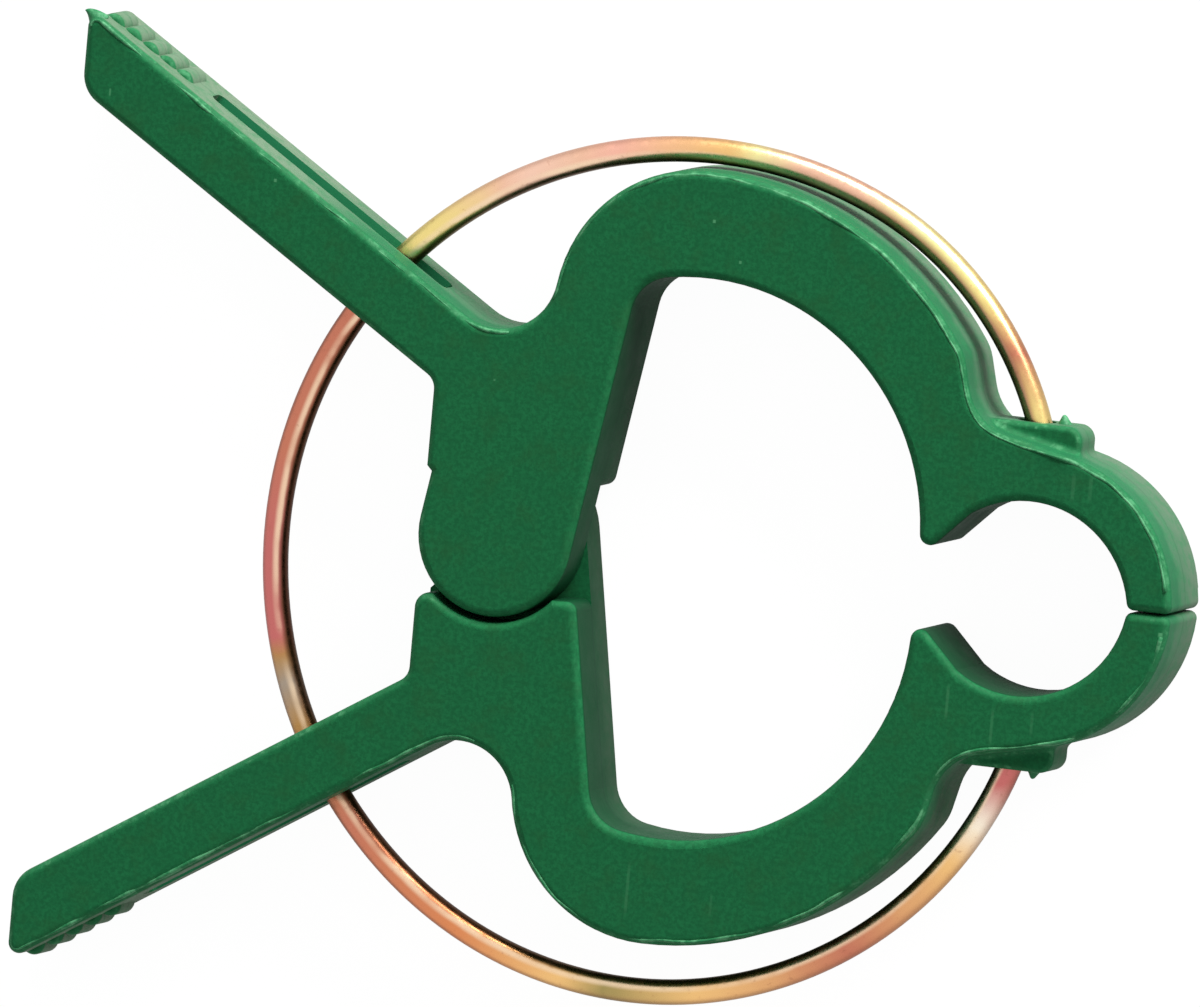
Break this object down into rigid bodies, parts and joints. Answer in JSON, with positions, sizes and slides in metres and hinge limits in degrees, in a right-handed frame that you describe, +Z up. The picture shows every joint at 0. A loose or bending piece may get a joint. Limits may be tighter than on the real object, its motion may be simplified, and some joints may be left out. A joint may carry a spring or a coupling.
{
  "type": "spring plant clip",
  "caption": "Flat plastic spring clip with long leaned handles, a wide arched jaw, a small round eye at the nose and an open wire ring that pulls it shut.",
  "frame": {"origin": "hinge centre, on the flat side face that the clip lies on", "axes": "+X along the jaws from the hinge to the nose, +Y across the jaws towards the upper half, +Z up through the thickness along the hinge axis"},
  "size_m": [0.0549, 0.0444, 0.005],
  "materials": {
    "plastic_green": "injection-moulded green plastic, satin, with fine mottling and paler worn edges",
    "zinc_wire": "spring steel wire with a gold and pink passivated zinc coat"
  },
  "bodies": {
    "lower": {"lower_half": "plastic_green", "spring_ring": "zinc_wire"},
    "upper": {"upper_half": "plastic_green"}
  },
  "joints": [
    {"name": "jaw_hinge", "type": "hinge", "parent": "lower", "child": "upper", "pos_m": [0, 0, 0.0025], "axis": [0, 0, 1], "range_deg": [0, 40], "stiffness_Nm_per_rad": 0.17, "springref_deg": -20.05, "deforming": ["spring_ring"]}
  ]
}
